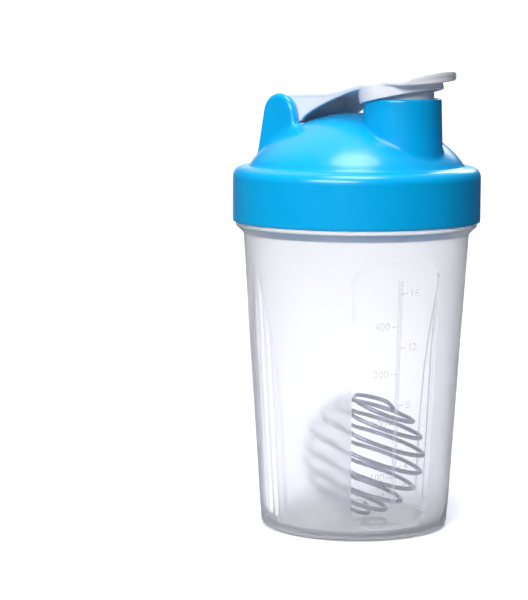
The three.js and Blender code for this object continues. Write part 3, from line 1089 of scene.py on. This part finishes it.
def whisk_piece(sides=14, cap_rings=4):
    """The wire as a tube along its centre line, with a rounded cap at each end."""
    path = ball_path()
    least_size = 0.02
    tangents = np.gradient(path, axis=0)
    tangents /= np.linalg.norm(tangents, axis=1, keepdims=True)
    outward = path - np.array(BALL_CENTRE)
    binormals = np.cross(tangents, outward)
    binormals /= np.linalg.norm(binormals, axis=1, keepdims=True)
    normals = np.cross(binormals, tangents)
    bends = np.linspace(0, math.pi / 2, cap_rings + 1)[1:]
    stations = [(0, -math.sin(b), math.cos(b)) for b in bends[::-1]]
    stations += [(index, 0, 1) for index in range(len(path))]
    stations += [(len(path) - 1, math.sin(b), math.cos(b)) for b in bends]
    points = []
    for index, ahead, size in stations:
        centre = path[index] + tangents[index] * WIRE_RADIUS * ahead
        for side in range(sides):
            a = 2 * math.pi * side / sides
            ring = normals[index] * math.cos(a) + binormals[index] * math.sin(a)
            points.append(centre + ring * WIRE_RADIUS * max(size, least_size))
    faces = grid_faces(len(stations), sides)
    faces.append(tuple(range(sides))[::-1])
    last = (len(stations) - 1) * sides
    faces.append(tuple(last + side for side in range(sides)))
    return new_piece("whisk_wire", points, faces)


# ---------------------------------------------------------------- stage, light and camera
ACROSS = Vector((math.cos(VIEW_HEADING), math.sin(VIEW_HEADING), 0))
TOWARDS = Vector((math.sin(VIEW_HEADING), -math.cos(VIEW_HEADING), 0))
UP = Vector((0, 0, 1))


def studio_place(across, towards, up):
    return ACROSS * across + TOWARDS * towards + UP * up


def pale_floor(radius=0.62, sides=96):
    """A round pale floor."""
    mesh = bpy.data.meshes.new("floor")
    corners = [(radius * math.cos(a), radius * math.sin(a), 0) for a in round_angles(sides)]
    mesh.from_pydata(corners, [], [tuple(range(sides))])
    floor = bpy.data.objects.new("floor", mesh)
    bpy.context.scene.collection.objects.link(floor)
    look = Look("floor_white", **{"Roughness": 0.6, "Specular IOR Level": 0.2})
    look.set("Base Color", look.mixed(look.noise(400, 2), (0.93, 0.93, 0.935), (0.96, 0.96, 0.96)))
    mesh.materials.append(look.material)
    floor.visible_diffuse = False  # the world stands in for the light it throws back
    floor.visible_glossy = False


def lamp(name, kind, heading, height, distance, energy):
    """A light aimed at the bottle, heading degrees right of the camera and height degrees up."""
    aim = studio_place(0, 0, 0.13)
    light = bpy.data.lights.new(name, kind)
    light.energy = energy
    rig = bpy.data.objects.new(name, light)
    bpy.context.scene.collection.objects.link(rig)
    side, up = math.radians(heading), math.radians(height)
    away = studio_place(math.sin(side) * math.cos(up), math.cos(side) * math.cos(up), math.sin(up))
    rig.location = aim + away * distance
    rig.rotation_euler = away.to_track_quat("Z", "Y").to_euler()
    return light


def studio_lights():
    """A wide softbox high on the left and a broad soft light from above."""
    key = lamp("key_softbox", "AREA", -21, 27, 1.3, 16)
    key.shape = "RECTANGLE"
    key.size = 0.9
    key.size_y = 0.45
    top = lamp("top_light", "SUN", -6, 79, 1.0, 2.1)
    top.angle = math.radians(30)


def studio_world():
    """White seen directly or through the cup; as light, soft panels in a dim bluish room."""
    white, bluish = (1.0, 1.0, 1.0), (0.6, 0.66, 1.0)
    world = bpy.data.worlds.new("studio")
    world.use_nodes = True
    nodes, links = world.node_tree.nodes, world.node_tree.links
    direction = nodes.new("ShaderNodeTexCoord").outputs["Generated"]

    def toward(vector, low, high, from_low, from_high):
        """From low to high as the direction turns towards a vector."""
        dot = nodes.new("ShaderNodeVectorMath")
        dot.operation = "DOT_PRODUCT"
        links.new(direction, dot.inputs[0])
        dot.inputs[1].default_value = vector.normalized()
        span = nodes.new("ShaderNodeMapRange")
        span.interpolation_type = "SMOOTHSTEP"
        set_range(span, from_low, from_high, low, high)
        links.new(dot.outputs["Value"], span.inputs["Value"])
        return span.outputs["Result"]

    def combined(operation, *values):
        result = values[0]
        for value in values[1:]:
            node = nodes.new("ShaderNodeMath")
            node.operation = operation
            links.new(result, node.inputs[0])
            if isinstance(value, (int, float)):
                node.inputs[1].default_value = value
            else:
                links.new(value, node.inputs[1])
            result = node.outputs["Value"]
        return result

    def glow(color, strength):
        background = nodes.new("ShaderNodeBackground")
        background.inputs["Color"].default_value = (*color, 1)
        links.new(strength, background.inputs["Strength"])
        return background.outputs["Background"]

    left_half = toward(ACROSS, 1, 0, -0.05, 0.15)
    panels = combined(
        "ADD",
        toward(UP * 0.8 - TOWARDS * 0.6, 0, 0.8, 0.72, 0.92),
        toward(ACROSS * 0.2 - TOWARDS * 0.85 + UP * 0.45, 0, 4.0, 0.95, 0.985),
        combined("MULTIPLY", toward(-TOWARDS, 0, 0.8, 0.92, 0.98), left_half),
        toward(-UP, 0, 0.4, 0.1, 0.8),
    )
    room = combined(
        "ADD",
        toward(ACROSS, 0.14, 0.06, -0.3, 0.8),
        toward(UP, 0, 0.3, 0.2, 0.9),
    )
    add = nodes.new("ShaderNodeAddShader")
    links.new(glow(white, panels), add.inputs[0])
    links.new(glow(bluish, room), add.inputs[1])

    path = nodes.new("ShaderNodeLightPath")
    unreflected = combined("LESS_THAN", path.outputs["Glossy Depth"], 0.5)
    near_wall = combined("LESS_THAN", path.outputs["Transmission Depth"], 3.5)
    direct = combined("MAXIMUM", unreflected, near_wall)
    through = combined("MULTIPLY", path.outputs["Is Transmission Ray"], direct)
    seen = combined("MAXIMUM", path.outputs["Is Camera Ray"], through)
    mix = nodes.new("ShaderNodeMixShader")
    links.new(seen, mix.inputs["Fac"])
    links.new(add.outputs["Shader"], mix.inputs[1])
    backdrop = combined(
        "MULTIPLY",
        toward(ACROSS, 1.14, 0.95, 0.12, 0.7),
        toward(-ACROSS, 1, 0.75, 0.15, 0.8),
    )
    backdrop = combined("MAXIMUM", backdrop, path.outputs["Is Camera Ray"])
    links.new(glow(white, backdrop), mix.inputs[2])
    links.new(mix.outputs["Shader"], nodes["World Output"].inputs["Surface"])
    bpy.context.scene.world = world


def studio_camera():
    """The main view's camera, in metres and radians from the studio's axes."""
    distance, height = 0.888289, 0.201348
    yaw, pitch, roll = -0.0418564, 0.123084, 0.00397972
    level = ACROSS * -math.sin(yaw) + TOWARDS * math.cos(yaw)
    back = level * math.cos(pitch) + UP * math.sin(pitch)
    right = ACROSS * math.cos(yaw) + TOWARDS * math.sin(yaw)
    up = back.cross(right)
    turned_right = right * math.cos(roll) + up * math.sin(roll)
    turned_up = back.cross(turned_right)
    camera = bpy.data.cameras.new("camera")
    camera.lens = 132
    camera.sensor_width = 36
    camera.sensor_fit = "AUTO"
    rig = bpy.data.objects.new("camera", camera)
    bpy.context.scene.collection.objects.link(rig)
    axes = Matrix((turned_right, turned_up, back)).transposed().to_4x4()
    rig.matrix_world = Matrix.Translation(studio_place(0, distance, height)) @ axes
    bpy.context.scene.camera = rig


# ---------------------------------------------------------------- build
cup_plastic = cup_look()
lid_plastic = lid_look()
cap_plastic = cap_look()

dress(cup_body(), cup_plastic, "cup", ["cup_shell"])
dress(cup_scale(), scale_look(), "cup")
dress(lid_piece(), lid_plastic, "lid", ["lid_shell"])
dress(gasket_piece(), silicone_look(), "seal", ["lid_gasket"])
dress(plug_piece(), cap_plastic, "spout_cap", ["spout_plug"])
dress(pin_piece(), cap_plastic, "flip_arm", ["hinge_pin"])
dress(whisk_piece(), steel_look(), "whisk", ["whisk_ball"])

flip_cap = dress(flip_cap_piece(), cap_plastic, replaced=["flip_strap", "cap_disc"])
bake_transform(flip_cap)

pale_floor()
studio_world()
studio_camera()
studio_lights()
bpy.context.scene.view_settings.view_transform = "Standard"
